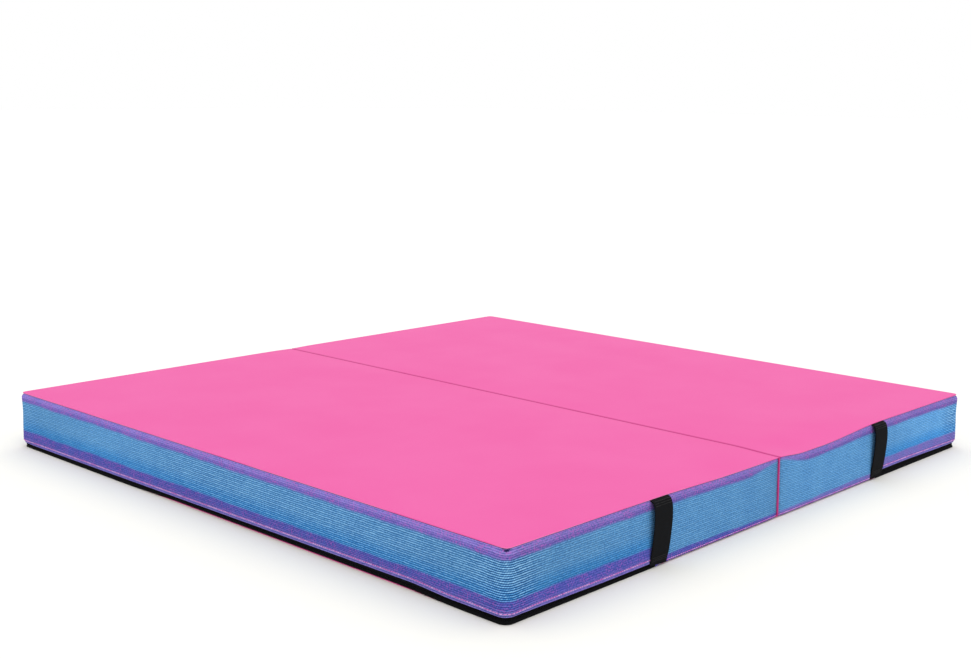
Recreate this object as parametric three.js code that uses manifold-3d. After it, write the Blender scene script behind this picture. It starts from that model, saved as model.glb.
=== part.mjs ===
// Folding gym mat: two padded halves that fold together about a sewn seam in the top face.
// Millimetres, +Z up. The mat rests on z = 0, and the fold runs along Y at x = 0.
// Half a is the -X half, half b is its mirror image on the +X side.
import * as THREE from 'three';
import { mergeVertices } from 'three/addons/utils/BufferGeometryUtils.js';
import Module from 'manifold-3d';

const wasm = await Module();
wasm.setup();

// Overall size of the mat laid open.
const MAT_LENGTH = 1219.2;
const MAT_WIDTH = 1219.2;
const MAT_HEIGHT = 100;
const HALF_LENGTH = MAT_LENGTH / 2;
const HALF_WIDTH = MAT_WIDTH / 2;

// Clearances: from the fold plane to each half, and between neighbouring pieces.
const FOLD_CLEARANCE = 0.9;
const GAP = 0.3;

// How far pieces that are joined or cut reach into each other, and how near two vertices are merged.
const OVERLAP = 1;
const MERGE_DISTANCE = 1e-4;

// Sheet goods.
const VINYL = 2;
const MESH = 2;
const FOLD_WALL = 1.6;
const BASE_VINYL = 1.6;
const HEM_THICKNESS = 1.2;
const TOP_HEM_DEPTH = 14;

// Vertical corners away from the fold: tight under the top cover, rounder from the taper's foot down.
const TOP_CORNER = 8;
const BASE_CORNER = 14;
const CORNER_TAPER = 60;
const CORNER_STEPS = 8;
const LEVEL_SPACING = 20;

// Foam: a soft layer at the base and a firm one on top of it.
const FOAM_INSET = 6.5;
const FOAM_CORNER = 12;
const SOFT_FOAM_TOP = 60;

// Zipper: two tapes, each with its row of coil along the edge where they meet.
const ZIP_INSET = 3;
const ZIP_SLIT_HEIGHT = 5.5;
const ZIP_SLIT = 1;
const ZIP_TOP = 12.5;
const TAPE = 1;
const COIL_WIDTH = 2.4;
const COIL_PROUD = 1;
const COIL_HEIGHT = 1.4;
const FACING_TOP = 30;
const STOP_LENGTH = 3;

// Webbing handles, sewn in at the top seam and at the base, bowed out between.
const STRAP_WIDTH = 40;
const STRAP_THICKNESS = 2;
const STRAP_X = HALF_LENGTH / 2;
const STRAP_STEPS = 26;
const STRAP_SEAM_DROP = 3.6;
// Centre line of a strap from seam to base: outwards from the side wall, and up from the floor.
const STRAP_LINE = [
  [-1.9, MAT_HEIGHT - STRAP_SEAM_DROP],
  [1.6, MAT_HEIGHT - STRAP_SEAM_DROP],
  [5.4, 94],
  [8.3, 87],
  [9.2, 75],
  [8.4, 58],
  [5.9, 36],
  [2.9, 16],
  [1.5, 7],
  [1.5, 2.2],
];

// Slider and its pull tab.
const SLIDER_X = STRAP_X + 38;
const SLIDER_LENGTH = 12;
const SLIDER_HEIGHT = 7.4;
const WING = 1.4;
const INNER_WING = 1.2;
const POST_LENGTH = 4;
const POST_HEIGHT = 0.4;
const BAIL_REACH = 4.6;
const BAIL_RADIUS = 0.6;
const BAIL_SPAN = 5.2;
const BAIL_SIDES = 12;
const PULL_EYE_RADIUS = 1.5;
const PULL_EYE_HOLE = 0.95;
const PULL_EYE_HEIGHT = BAIL_SPAN - 4 * BAIL_RADIUS - GAP;
const PULL_EYE_SIDES = 20;
const PULL_HOLE_SIDES = 16;
const PULL_LENGTH = 24;
const PULL_HEIGHT = 6;
const PULL_THICKNESS = 1.2;
const PULL_NECK = 3;
const PULL_END_STEPS = 6;

// Seam thread in the fold, on the line that the halves turn about.
const FOLD_AXIS_RISE = 0.4;
const THREAD_RADIUS = 0.5;
const THREAD_SIDES = 8;

const TOP_COVER_BASE = MAT_HEIGHT - VINYL;
const WALL_TOP = TOP_COVER_BASE - GAP;
const WALL_BASE = BASE_VINYL + GAP;
const FOLD_WALL_END = FOLD_CLEARANCE + FOLD_WALL;
const GUSSET_END = FOLD_WALL_END + GAP;
const GUSSET_BASE = ZIP_TOP + GAP;

function material(color, roughness, metalness = 0) {
  return new THREE.MeshStandardMaterial({ color, roughness, metalness });
}

const pinkVinyl = () => material(0xf670b4, 0.45);
const blueMesh = () => material(0x5e93c5, 0.8);
const blackTape = () => material(0x0e0e12, 0.8);
const blackWebbing = () => material(0x1d1e20, 0.85);
const blackMetal = () => material(0x151517, 0.4, 0.6);
const softFoam = () => material(0xe9e4cf, 0.95);
const firmFoam = () => material(0xf2f2f0, 0.9);
const pinkThread = () => material(0xe05a9e, 0.7);

/** A closed geometry as a solid that can be joined and cut. */
function toSolid(geometry) {
  const bare = geometry.clone();
  bare.deleteAttribute('normal');
  bare.deleteAttribute('uv');
  const merged = mergeVertices(bare, MERGE_DISTANCE);
  return new wasm.Manifold(new wasm.Mesh({
    numProp: 3,
    vertProperties: new Float32Array(merged.attributes.position.array),
    triVerts: new Uint32Array(merged.index.array),
  }));
}

/** A solid as a geometry. */
function toGeometry(solid) {
  const mesh = solid.getMesh();
  const geometry = new THREE.BufferGeometry();
  geometry.setAttribute('position', new THREE.BufferAttribute(mesh.vertProperties, 3));
  geometry.setIndex(new THREE.BufferAttribute(mesh.triVerts, 1));
  geometry.computeVertexNormals();
  return geometry;
}

function join(first, ...others) {
  return toGeometry(others.reduce((solid, other) => solid.add(toSolid(other)), toSolid(first)));
}

function cut(first, ...tools) {
  return toGeometry(tools.reduce((solid, tool) => solid.subtract(toSolid(tool)), toSolid(first)));
}

/** A box between two opposite corners. */
function block(low, high) {
  const size = high.map((value, axis) => value - low[axis]);
  const centre = high.map((value, axis) => (value + low[axis]) / 2);
  return new THREE.BoxGeometry(...size).translate(...centre);
}

/** A closed body through counterclockwise outlines of equal length, one at each height. */
function loft(levels) {
  const count = levels[0].outline.length;
  const positions = levels.flatMap(({ outline, z }) => outline.flatMap((point) => [point.x, point.y, z]));
  const index = [];
  for (let level = 0; level < levels.length - 1; level++) {
    for (let i = 0; i < count; i++) {
      const a = level * count + i;
      const b = level * count + (i + 1) % count;
      index.push(a, b, b + count, a, b + count, a + count);
    }
  }
  const last = (levels.length - 1) * count;
  for (const [a, b, c] of THREE.ShapeUtils.triangulateShape(levels[0].outline, [])) {
    index.push(a, c, b);
  }
  for (const [a, b, c] of THREE.ShapeUtils.triangulateShape(levels.at(-1).outline, [])) {
    index.push(last + a, last + b, last + c);
  }
  const geometry = new THREE.BufferGeometry();
  geometry.setAttribute('position', new THREE.Float32BufferAttribute(positions, 3));
  geometry.setIndex(index);
  geometry.computeVertexNormals();
  return geometry;
}

/** The three outer sides of half a in plan, from the fold end at -Y round to the fold end at +Y. */
function sideLine(inset, radius, endX) {
  const x = -HALF_LENGTH + inset + radius;
  const y = HALF_WIDTH - inset - radius;
  const points = [new THREE.Vector2(endX, -y - radius)];
  for (const [side, startAngle] of [[-1, 1.5 * Math.PI], [1, Math.PI]]) {
    for (let step = 0; step <= CORNER_STEPS; step++) {
      const angle = startAngle - (Math.PI / 2) * (step / CORNER_STEPS);
      points.push(new THREE.Vector2(x + radius * Math.cos(angle), side * y + radius * Math.sin(angle)));
    }
  }
  points.push(new THREE.Vector2(endX, y + radius));
  return points;
}

/** Corner radius of the outer faces at a height. */
function cornerRadius(z) {
  const share = THREE.MathUtils.smoothstep(z, CORNER_TAPER, MAT_HEIGHT);
  return THREE.MathUtils.lerp(BASE_CORNER, TOP_CORNER, share);
}

/** A flat layer that fills the plan of half a, up to endX at the fold. */
function layer(inset, radius, low, high, endX) {
  const outline = sideLine(inset, radius, endX).reverse();
  return loft([{ outline, z: low }, { outline, z: high }]);
}

/** A thin wall along the three outer sides of half a, between two insets and two heights. */
function sideWall(outerInset, innerInset, low, high, endX) {
  const steps = Math.max(1, Math.ceil((high - low) / LEVEL_SPACING));
  const levels = [];
  for (let step = 0; step <= steps; step++) {
    const z = THREE.MathUtils.lerp(low, high, step / steps);
    const radius = cornerRadius(z);
    const outer = sideLine(outerInset, radius - outerInset, endX).reverse();
    const inner = sideLine(innerInset, radius - innerInset, endX);
    levels.push({ outline: [...outer, ...inner], z });
  }
  return loft(levels);
}

function topCover() {
  return layer(0, TOP_CORNER, TOP_COVER_BASE, MAT_HEIGHT, -FOLD_CLEARANCE);
}

/** Vinyl strip behind the upper edge of the mesh, which is sewn to it and to the top cover. */
function topHem() {
  const outer = MESH + GAP;
  return sideWall(outer, outer + HEM_THICKNESS, WALL_TOP - TOP_HEM_DEPTH, WALL_TOP, -GUSSET_END);
}

function bottomCover() {
  return layer(ZIP_INSET, BASE_CORNER - ZIP_INSET, 0, BASE_VINYL, -FOLD_CLEARANCE);
}

function foldWall() {
  return block([-FOLD_WALL_END, -HALF_WIDTH, WALL_BASE], [-FOLD_CLEARANCE, HALF_WIDTH, WALL_TOP]);
}

/** Mesh wall round three sides. Between the handles, across the fold, it reaches the base. */
function meshGusset() {
  const wall = sideWall(0, MESH, GUSSET_BASE, WALL_TOP, -GUSSET_END);
  const skirts = [-1, 1].map((side) => {
    const faces = [side * HALF_WIDTH, side * (HALF_WIDTH - MESH)].sort((p, q) => p - q);
    return block([-STRAP_X, faces[0], WALL_BASE], [-GUSSET_END, faces[1], GUSSET_BASE + OVERLAP]);
  });
  const slotHalf = STRAP_WIDTH / 2 + GAP;
  const slotBase = MAT_HEIGHT - STRAP_SEAM_DROP - STRAP_THICKNESS / 2 - GAP;
  const slots = [-1, 1].map((side) => {
    const faces = [side * (HALF_WIDTH - 2 * MESH), side * (HALF_WIDTH + MESH)].sort((p, q) => p - q);
    return block(
      [-STRAP_X - slotHalf, faces[0], slotBase],
      [-STRAP_X + slotHalf, faces[1], WALL_TOP + OVERLAP],
    );
  });
  return cut(join(wall, ...skirts), ...slots);
}

/** Vinyl strip behind the lower edge of the mesh, which the zipper is sewn to. */
function zipFacing() {
  const outer = MESH + GAP;
  return sideWall(outer, outer + HEM_THICKNESS, GUSSET_BASE + GAP, FACING_TOP, -STRAP_X);
}

/** One tape of the zipper with its row of coil. The coil runs along the edge at the slit. */
function zipTape(upper) {
  const end = -STRAP_X - STOP_LENGTH;
  const slitEdge = ZIP_SLIT_HEIGHT + (upper ? ZIP_SLIT / 2 : -ZIP_SLIT / 2);
  const farEdge = upper ? ZIP_TOP : WALL_BASE;
  const coilEdge = slitEdge + (upper ? COIL_HEIGHT : -COIL_HEIGHT);
  const tapeLow = Math.min(slitEdge, farEdge);
  const tapeHigh = Math.max(slitEdge, farEdge);
  const tape = sideWall(ZIP_INSET, ZIP_INSET + TAPE, tapeLow, tapeHigh, end);
  const coilOuter = ZIP_INSET - COIL_PROUD;
  const coilLow = Math.min(slitEdge, coilEdge);
  const coilHigh = Math.max(slitEdge, coilEdge);
  return join(tape, sideWall(coilOuter, coilOuter + COIL_WIDTH, coilLow, coilHigh, end));
}

/** Clamp that closes one end of the zipper, about the centre of the slit. */
function zipStop() {
  const halfHeight = ZIP_SLIT / 2 + COIL_HEIGHT;
  return block(
    [-STOP_LENGTH + GAP, -COIL_WIDTH / 2, -halfHeight],
    [0, COIL_WIDTH / 2, halfHeight],
  );
}

/** Slider, with its origin on the tape's outer face at the slit. Its pull hangs on the bail. */
function slider() {
  const x = SLIDER_LENGTH / 2;
  const z = SLIDER_HEIGHT / 2;
  const outerFace = COIL_PROUD + GAP;
  const innerFace = COIL_PROUD - COIL_WIDTH - GAP;
  const outerWing = block([-x, outerFace, -z], [x, outerFace + WING, z]);
  const innerWing = block([-x, innerFace - INNER_WING, -z], [x, innerFace, z]);
  const post = block(
    [-POST_LENGTH / 2, innerFace - INNER_WING / 2, -POST_HEIGHT / 2],
    [POST_LENGTH / 2, outerFace + WING / 2, POST_HEIGHT / 2],
  );
  const legs = [-1, 1].map((side) => {
    const middle = side * (BAIL_SPAN / 2 - BAIL_RADIUS);
    return block(
      [-BAIL_RADIUS, outerFace + WING / 2, middle - BAIL_RADIUS],
      [BAIL_RADIUS, BAIL_REACH + BAIL_RADIUS, middle + BAIL_RADIUS],
    );
  });
  const bar = new THREE.CylinderGeometry(BAIL_RADIUS, BAIL_RADIUS, BAIL_SPAN - BAIL_RADIUS, BAIL_SIDES);
  bar.rotateX(Math.PI / 2).translate(0, BAIL_REACH, 0);
  return join(outerWing, innerWing, post, ...legs, bar);
}

/** Pull tab, with its origin on the bail's bar. It lies along -X. */
function pullTab() {
  const eye = new THREE.CylinderGeometry(PULL_EYE_RADIUS, PULL_EYE_RADIUS, PULL_EYE_HEIGHT, PULL_EYE_SIDES);
  eye.rotateX(Math.PI / 2);
  const height = PULL_EYE_HEIGHT / 2;
  const neck = block(
    [-PULL_NECK - OVERLAP, -PULL_THICKNESS / 2, -height],
    [0, PULL_THICKNESS / 2, height],
  );
  const grip = new THREE.Shape();
  const end = PULL_HEIGHT / 2;
  grip.moveTo(-PULL_NECK, -height);
  grip.lineTo(-PULL_NECK, height);
  grip.lineTo(-PULL_NECK - end, end);
  grip.lineTo(-PULL_LENGTH + end, end);
  grip.absarc(-PULL_LENGTH + end, 0, end, Math.PI / 2, 1.5 * Math.PI, false);
  grip.lineTo(-PULL_NECK - end, -end);
  const plate = new THREE.ExtrudeGeometry(grip, {
    depth: PULL_THICKNESS,
    bevelEnabled: false,
    curveSegments: PULL_END_STEPS,
  });
  plate.rotateX(Math.PI / 2).translate(0, PULL_THICKNESS / 2, 0);
  const hole = new THREE.CylinderGeometry(PULL_EYE_HOLE, PULL_EYE_HOLE, PULL_EYE_HEIGHT * 2, PULL_HOLE_SIDES);
  hole.rotateX(Math.PI / 2);
  return cut(join(eye, neck, plate), hole);
}

/** Webbing handle with its origin on the side wall's face at the floor, bowed out along +Y. */
function handle() {
  const line = new THREE.SplineCurve(STRAP_LINE.map(([out, up]) => new THREE.Vector2(out, up)));
  const faces = [[], []];
  for (let step = 0; step <= STRAP_STEPS; step++) {
    const centre = line.getPoint(step / STRAP_STEPS);
    const tangent = line.getTangent(step / STRAP_STEPS);
    const across = new THREE.Vector2(-tangent.y, tangent.x).multiplyScalar(STRAP_THICKNESS / 2);
    faces[0].push(centre.clone().add(across));
    faces[1].push(centre.clone().sub(across));
  }
  const section = new THREE.Shape([...faces[0], ...faces[1].reverse()]);
  const strap = new THREE.ExtrudeGeometry(section, { depth: STRAP_WIDTH, bevelEnabled: false });
  strap.translate(0, 0, -STRAP_WIDTH / 2);
  return strap.rotateX(Math.PI / 2).rotateZ(Math.PI / 2);
}

/** The mirror image in the fold plane, with its faces still pointing out. */
function mirrored(geometry) {
  const image = geometry.index ? geometry.toNonIndexed() : geometry.clone();
  image.scale(-1, 1, 1);
  const position = image.attributes.position;
  const corner = [new THREE.Vector3(), new THREE.Vector3()];
  for (let i = 0; i < position.count; i += 3) {
    corner[0].fromBufferAttribute(position, i + 1);
    corner[1].fromBufferAttribute(position, i + 2);
    position.setXYZ(i + 1, ...corner[1].toArray());
    position.setXYZ(i + 2, ...corner[0].toArray());
  }
  image.computeVertexNormals();
  return image;
}

/** One half of the mat, with its own foam, covers, zipper and handles. */
function half(tag, side) {
  const group = new THREE.Group();
  const face = (geometry) => (side < 0 ? geometry : mirrored(geometry));
  const add = (name, geometry, finish, position = [0, 0, 0], turn = 0) => {
    const mesh = new THREE.Mesh(face(geometry), finish);
    mesh.name = `${name}_${tag}`;
    mesh.position.set(-side * position[0], position[1], position[2]);
    mesh.rotation.z = turn;
    group.add(mesh);
  };
  const foamEnd = -GUSSET_END;
  const firmBase = SOFT_FOAM_TOP + GAP;
  const zipFace = HALF_WIDTH - ZIP_INSET;
  const coilCentre = zipFace + COIL_PROUD - COIL_WIDTH / 2;
  add('soft_foam', layer(FOAM_INSET, FOAM_CORNER, WALL_BASE, SOFT_FOAM_TOP, foamEnd), softFoam());
  add('firm_foam', layer(FOAM_INSET, FOAM_CORNER, firmBase, WALL_TOP, foamEnd), firmFoam());
  add('top_cover', topCover(), pinkVinyl());
  add('top_hem', topHem(), pinkVinyl());
  add('bottom_cover', bottomCover(), pinkVinyl());
  add('fold_wall', foldWall(), pinkVinyl());
  add('mesh_gusset', meshGusset(), blueMesh());
  add('zip_facing', zipFacing(), pinkVinyl());
  add('zip_tape_upper', zipTape(true), blackTape());
  add('zip_tape_lower', zipTape(false), blackTape());
  add('zip_stop_front', zipStop(), blackMetal(), [-STRAP_X, -coilCentre, ZIP_SLIT_HEIGHT]);
  add('zip_stop_rear', zipStop(), blackMetal(), [-STRAP_X, coilCentre, ZIP_SLIT_HEIGHT]);
  add('zip_slider', slider(), blackMetal(), [-SLIDER_X, zipFace, ZIP_SLIT_HEIGHT]);
  add('zip_pull', pullTab(), blackMetal(), [-SLIDER_X, zipFace + BAIL_REACH, ZIP_SLIT_HEIGHT]);
  add('handle_front', handle(), blackWebbing(), [-STRAP_X, -HALF_WIDTH, 0], Math.PI);
  add('handle_rear', handle(), blackWebbing(), [-STRAP_X, HALF_WIDTH, 0]);
  return group;
}

/** Thread along the fold, which joins the two top covers. */
function foldSeam() {
  const thread = new THREE.CylinderGeometry(THREAD_RADIUS, THREAD_RADIUS, MAT_WIDTH, THREAD_SIDES);
  const mesh = new THREE.Mesh(thread, pinkThread());
  mesh.name = 'fold_seam';
  mesh.position.set(0, 0, MAT_HEIGHT + FOLD_AXIS_RISE);
  return mesh;
}

const mat = new THREE.Group();
mat.add(half('a', -1), half('b', 1), foldSeam());

export default mat;
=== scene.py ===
import math

import bmesh
import bpy
import numpy as np
from mathutils import Matrix, Vector


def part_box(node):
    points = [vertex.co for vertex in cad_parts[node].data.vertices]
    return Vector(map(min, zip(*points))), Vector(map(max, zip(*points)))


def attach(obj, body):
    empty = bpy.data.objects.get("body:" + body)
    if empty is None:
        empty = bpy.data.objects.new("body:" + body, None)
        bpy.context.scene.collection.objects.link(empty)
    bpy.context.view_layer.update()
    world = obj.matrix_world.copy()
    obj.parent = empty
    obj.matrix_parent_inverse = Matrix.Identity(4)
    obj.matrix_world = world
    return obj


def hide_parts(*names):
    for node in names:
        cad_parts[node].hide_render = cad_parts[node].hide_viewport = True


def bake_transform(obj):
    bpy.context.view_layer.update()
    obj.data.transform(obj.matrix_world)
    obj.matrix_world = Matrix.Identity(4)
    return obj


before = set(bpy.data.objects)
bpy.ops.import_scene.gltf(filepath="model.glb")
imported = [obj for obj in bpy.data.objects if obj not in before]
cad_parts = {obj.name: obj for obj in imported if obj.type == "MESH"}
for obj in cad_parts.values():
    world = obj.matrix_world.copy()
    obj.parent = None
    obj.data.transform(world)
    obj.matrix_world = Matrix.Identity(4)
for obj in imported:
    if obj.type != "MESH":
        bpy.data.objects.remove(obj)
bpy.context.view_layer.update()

# The folding gym mat around its CAD frame, in metres. Half a lies on the -X side of the fold and half b is
# its mirror image, so every piece is shaped for half a and then mirrored for half b.

MM = 0.001

# Places taken from the CAD nodes of half a.
gusset_low, gusset_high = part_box("mesh_gusset_a")
strap_low, strap_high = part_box("handle_rear_a")
top_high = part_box("top_cover_a")[1]
tape_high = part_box("zip_tape_upper_a")[1]

HALF_LENGTH = -gusset_low.x
HALF_WIDTH = gusset_high.y
TOP = top_high.z
FOLD_EDGE = -top_high.x
GUSSET_END = -gusset_high.x
STRAP_X = -(strap_low.x + strap_high.x) / 2
STRAP_WIDTH = strap_high.x - strap_low.x
ZIP_END = -tape_high.x
ZIP_TOP = tape_high.z
ZIP_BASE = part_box("zip_tape_lower_a")[0].z
BASE_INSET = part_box("bottom_cover_a")[0].x + HALF_LENGTH
FACING_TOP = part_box("zip_facing_a")[1].z
HEM_BASE, HEM_TOP = (corner.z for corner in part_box("top_hem_a"))

# Vertical corners away from the fold, as in the CAD: tight at the top, and rounder below the taper's foot.
TOP_CORNER = 8 * MM
BASE_CORNER = 14 * MM
CORNER_TAPER = 60 * MM
CORNER_ZONE = 30 * MM

# Top cover: rolled over at its edge and sagging a little towards the fold. Its edge droops either side of
# the fold's front end, further on half b.
CROWN = 0.3 * MM
CROWN_EDGE = 60 * MM
EDGE_ROUND = 0.9 * MM
EDGE_TUCK = 0.6 * MM
FOLD_ROUND = 1.6 * MM
FOLD_SAG = 0.8 * MM
FOLD_SAG_REACH = 70 * MM
DROOP = 3.2 * MM
EXTRA_DROOP = {"a": 0, "b": 4.6 * MM}
DROOP_ZONE = 90 * MM
DROOP_FADES = (120 * MM, 320 * MM)
# Painted highlight on the top cover's rolled edge: its strength, where on the roll it lies, and its start
# from the fold.
EDGE_HIGHLIGHT = 0.3
HIGHLIGHT_BAND = (0.2 * EDGE_ROUND, 0.6 * EDGE_ROUND)
HIGHLIGHT_FROM_FOLD = (4 * MM, 8 * MM)
VINYL = 0.9 * MM
CELL = 9 * MM

# Base cover, and the wall and piping along the fold.
BASE_VINYL = 0.5 * MM
BASE_ROUND = 1.2 * MM
BASE_FOLD_ROUND = 1.5 * MM
BASE_TUCK = 0.2 * MM
WALL_MARGIN = 1.5 * MM
WALL_FOOT = 1.2 * MM
WALL_GAP = 1.6 * MM
WALL_CELL = 6 * MM
WALL_INSET = 0.9 * MM
WALL_QUILT = 0.5 * MM
QUILT_PITCH = 76 * MM
PIPING = 0.75 * MM
PIPING_BEND = 6 * MM

# Foam, with its corners as in the CAD and its edges eased.
FOAM_CORNER = 12 * MM
FOAM_ROUND = 3 * MM
FOAM_TUCK = 0.3 * MM

# Mesh wall: level rows of knit, from just under the top seam down to its lower edges.
MESH = 1.2 * MM
ROW_PITCH = 3 * MM
ROW_STEPS = 4
ROW_DEPTH = 0.26 * MM
LOOP_PITCH = 2.6 * MM
LOOP_SLANT = 0.6
ROW_WANDER = 0.6
GUSSET_LEVELS = (3, 131)
FLAP_LEVEL = 13
HEM_STITCH_Z = 15 * MM
BASE_STITCH_Z = 4.4 * MM
MESH_FOOT = 1.9 * MM

# How clearly the knit's rows show, by the strength of their painted highlights and gap shade: less on the
# short sides and to the rear, and in full at the corners.
LONG_SHADING = 0.72
SHADING_LOSS = 0.34
REAR_REACH = 350 * MM
REAR_CORNER_LOSS = 0.6
CORNER_SHADING = (15 * MM, 75 * MM)

# The mesh's lower edge rises near the front of the long side and falls towards the rear. Its level on the
# short side in front differs between the halves.
HEM_RISE = 3.3 * MM
HEM_FALL = 2.2 * MM
HEM_CREST = -0.45
HEM_START = (-0.52, -0.43)
SHORT_HEM = {"a": -1.9 * MM, "b": 2.4 * MM}
HEM_BLEND = (15 * MM, 36 * MM)
SAG_FOOT = 30 * MM

# How far the foam pushes the wall out at most, and at a corner's top and lower down, between these heights.
WALL_BULGE = 1.6 * MM
BULGE_END = 50 * MM
CORNER_PUSH = (2.2 * MM, 3 * MM)
PUSH_REACH = 60 * MM
PUSH_BLEND = (40 * MM, 90 * MM)
PUSH_STARTS = (8 * MM, 16 * MM)
PUSH_ENDS = (91 * MM, 99 * MM)

# How far the mesh is drawn in: FOLD_DRAW where it is sewn to the fold wall, CORNER_DRAW at a corner's top.
SEAM_DRAW = 0.9 * MM
STITCH_DRAW = 0.7 * MM
EDGE_DRAW = 0.5 * MM
FOLD_DRAW = 1.2 * MM
CORNER_DRAW = 1.4 * MM

# Vinyl strips behind the mesh, and the vinyl strip in the fold's seam.
STRIP = 0.8 * MM
FACING_DEPTH = 2.6 * MM
HEM_DEPTH = 4.2 * MM
FOLD_STRIP = 0.6 * MM
FOLD_STRIP_DEPTH = 1.6 * MM
FOLD_STRIP_DIP = 0.9 * MM

# Webbing, outwards from the side wall and up from the floor, from the top seam to the base.
STRAP_THICKNESS = 1.9 * MM
STRAP_LINE = (
    (-1.9, 97.2), (1.6, 97.1), (5.4, 94.6), (8.3, 87), (9.2, 75),
    (8.4, 58), (5.9, 36), (2.9, 16), (1, 7), (0.6, 2.6),
)
# Half of the webbing's section: places across its half width, from one edge to the other, and thicknesses.
STRAP_ACROSS = (-1, -0.985, -0.95, -0.88, -0.8, -0.5, -0.25, 0, 0.25, 0.5, 0.8, 0.88, 0.95, 0.985, 1)
STRAP_SECTION = (0.35, 0.8, 1, 0.86, 1, 1.04, 0.98, 1.04, 0.98, 1.04, 1, 0.86, 1, 0.8, 0.35)
FOOT_NARROWING = 0.08
FOOT_SLANT = 2.5 * MM
FOOT_HEIGHT = 24 * MM
TACK = 2.2 * MM
TACK_PITCH = 2.7 * MM
TACK_ROWS = np.array([7, 10, 13]) * MM
TACK_SPAN = (-0.86, 0.8)

# Zipper. The lower tape lifts off the floor along part of the long side.
TOOTH_PITCH = 2.4 * MM
TOOTH_RADIUS = 0.62 * MM
ZIP_SLIT_Z = 5.5 * MM
ZIP_SLIT_HALF = 0.5 * MM
ZIP_INSET = 3 * MM
TAPE = 0.8 * MM
TAPE_RIBS = 3
TAPE_RIB = 0.12 * MM
TAPE_FLARE = 2.2 * MM
TAPE_HOLD = 1.3
TAPE_ROLL = (1.5 * MM, 4.6 * MM)
TAPE_LIFT = 1.2 * MM
TAPE_LIFT_Z = (0.3 * MM, 4 * MM)
LIFT_STARTS = (-550 * MM, -400 * MM)
LIFT_ENDS = (100 * MM, 280 * MM)

# Thread. A stitch's rings lie at these shares of its length.
STITCH = 3.9 * MM
STITCH_PITCH = 4.6 * MM
THREAD = 0.65 * MM
STITCH_RINGS = np.array([0, 0.18, 0.5, 0.82, 1.0])
STITCH_LIFT = np.array([-0.25, 0.3, 0.5, 0.3, -0.25]) * MM

# Cloth simulation of the cover: cells along each axis, and the last frame.
COVER_CELLS = (40, 80, 8)
LAST_FRAME = 20

BODY = {"a": "half_a", "b": "half_b"}

# Camera: its place, its azimuth, elevation and roll in degrees, its lens in millimetres and its shift.
CAMERA_PLACE = (-1.7831, -1.7227, 0.6558)
CAMERA_TURN = (-47.213, 6.8, 0.61)
CAMERA_LENS = 50.9
CAMERA_SHIFT = (-0.0417, -0.079)

# Stage. A sun has the direction that it shines from, a strength and a width in degrees.
FLOOR_HALF = 30
FLOOR_DROP = 0.3 * MM
FLOOR_PAINT = (0.86, 0.848, 0.8, 1)
SUNS = {"key": ((-0.5, -1.0, 1.6), 0.75, 50), "fill": ((0.8, 0.6, 1.8), 0.35, 60)}


def srgb(red, green, blue):
    """An 8-bit sRGB colour as a linear RGBA one."""
    parts = [value / 255 for value in (red, green, blue)]
    return tuple(p / 12.92 if p <= 0.04045 else ((p + 0.055) / 1.055) ** 2.4 for p in parts) + (1,)


PINK = srgb(220, 82, 155)
PINK_DEEP = srgb(219, 80, 153)
# Deeper pink of the fold strip, darkened as painted shade of the fold's groove; the covers darken towards it
# as painted shade.
FOLD_SHADE_PINK = srgb(188, 50, 122)
PIPING_PINK = srgb(216, 52, 140)
# Pale pink of the painted highlight on the top cover's rolled edges.
HIGHLIGHT_PINK = srgb(252, 190, 224)
BLUE = srgb(90, 152, 207)
BLUE_DEEP = srgb(58, 137, 204)
TOP_BAND = srgb(136, 124, 208)
TOP_BAND_EDGE = srgb(106, 98, 184)
BASE_BAND = {"a": srgb(73, 85, 174), "b": srgb(106, 112, 188)}
TRIM = srgb(120, 110, 190)
# Dark purple of the painted shade in the groove under the top seam.
SEAM_SHADE = srgb(60, 42, 108)
FLECK = srgb(184, 84, 172)
METAL = srgb(22, 22, 24)
METAL_WORN = srgb(58, 58, 62)

# The knit multiplies its colour by these: in cool and warm patches, as painted shade in its gaps and as a
# painted highlight on its raised loops. The last is a pale colour that the painted highlight is mixed
# towards.
KNIT_COOL = (0.92, 0.95, 0.97, 1)
KNIT_WARM = (1.08, 1.05, 1.02, 1)
KNIT_GAP_SHADE = (0.04, 0.16, 0.3, 1)
KNIT_LOOP_HIGHLIGHT = (1.6, 1.42, 1.25, 1)
KNIT_HIGHLIGHT_PALE = (0.46, 0.72, 0.94, 1)

# Painted shade: how much darker the blue is near the corners, at them, in front and beside the fold, and the
# band in front. A negative value paints light instead.
NEAR_CORNER_SHADE = {"a": 0.1, "b": -0.2}
CORNER_SHADE = {"a": 0.01, "b": -0.2}
SIDE_SHADE = {"a": 0.13, "b": 0.04}
FOLD_SHADE = 0.14
BAND_SHADE = 0.2

# Shares of a noise's range, from its faint to its full effect.
SOFT_PATCHES = (0.35, 0.65)
# A wave texture's scale where its waves are a metre apart.
WAVE_SCALE = 0.314


# ---- camera, stage and light


def add_object(piece):
    bpy.context.scene.collection.objects.link(piece)


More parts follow.
